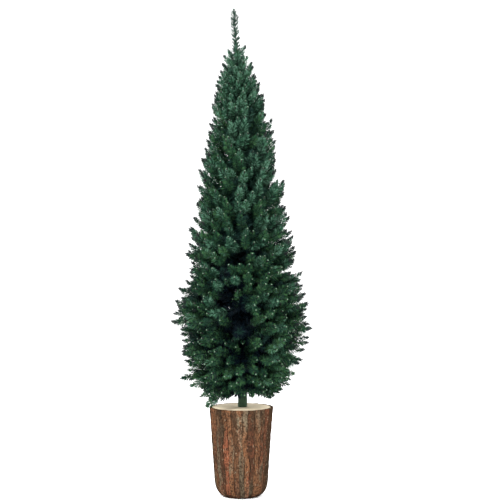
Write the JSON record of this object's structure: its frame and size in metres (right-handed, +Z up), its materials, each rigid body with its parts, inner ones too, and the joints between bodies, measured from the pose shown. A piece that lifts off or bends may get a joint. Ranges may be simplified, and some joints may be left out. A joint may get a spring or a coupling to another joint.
{
  "type": "artificial christmas tree",
  "caption": "Slim pencil-shaped artificial Christmas tree with bristly needle branches on a pole that stands in a bark-covered log base.",
  "frame": {"origin": "centre of the flat underside of the log base, on the lower tube's axis", "axes": "+Z up along the pole to the leader, -Y towards the side that the picture shows, +X to its right"},
  "size_m": [0.5109, 0.5137, 1.8],
  "materials": {
    "bark": "rough furrowed bark, red-brown and grey-brown",
    "sawn_wood": "pale sawn end grain, matt",
    "pole": "dark green painted steel tube",
    "needles": "dark green slit-film needles, slightly glossy"
  },
  "bodies": {
    "root": {"branch_1_01": "needles", "branch_1_02": "needles", "branch_1_03": "needles", "branch_1_04": "needles", "branch_1_05": "needles", "branch_1_06": "needles", "branch_1_07": "needles", "branch_1_08": "needles", "branch_1_09": "needles", "branch_1_10": "needles", "branch_1_11": "needles", "branch_2_01": "needles", "branch_2_02": "needles", "branch_2_03": "needles", "branch_2_04": "needles", "branch_2_05": "needles", "branch_2_06": "needles", "branch_2_07": "needles", "branch_2_08": "needles", "branch_2_09": "needles", "branch_2_10": "needles", "branch_3_01": "needles", "branch_3_02": "needles", "branch_3_03": "needles", "branch_3_04": "needles", "branch_3_05": "needles", "branch_3_06": "needles", "branch_3_07": "needles", "branch_3_08": "needles", "branch_3_09": "needles", "branch_3_10": "needles", "branch_4_01": "needles", "branch_4_02": "needles", "branch_4_03": "needles", "branch_4_04": "needles", "branch_4_05": "needles", "branch_4_06": "needles", "branch_4_07": "needles", "branch_4_08": "needles", "branch_4_09": "needles", "branch_4_10": "needles", "branch_5_01": "needles", "branch_5_02": "needles", "branch_5_03": "needles", "branch_5_04": "needles", "branch_5_05": "needles", "branch_5_06": "needles", "branch_5_07": "needles", "branch_5_08": "needles", "branch_5_09": "needles", "branch_5_10": "needles", "leader": "needles", "log_bark": "bark", "log_face": "sawn_wood", "pole": "pole"}
  },
  "joints": []
}
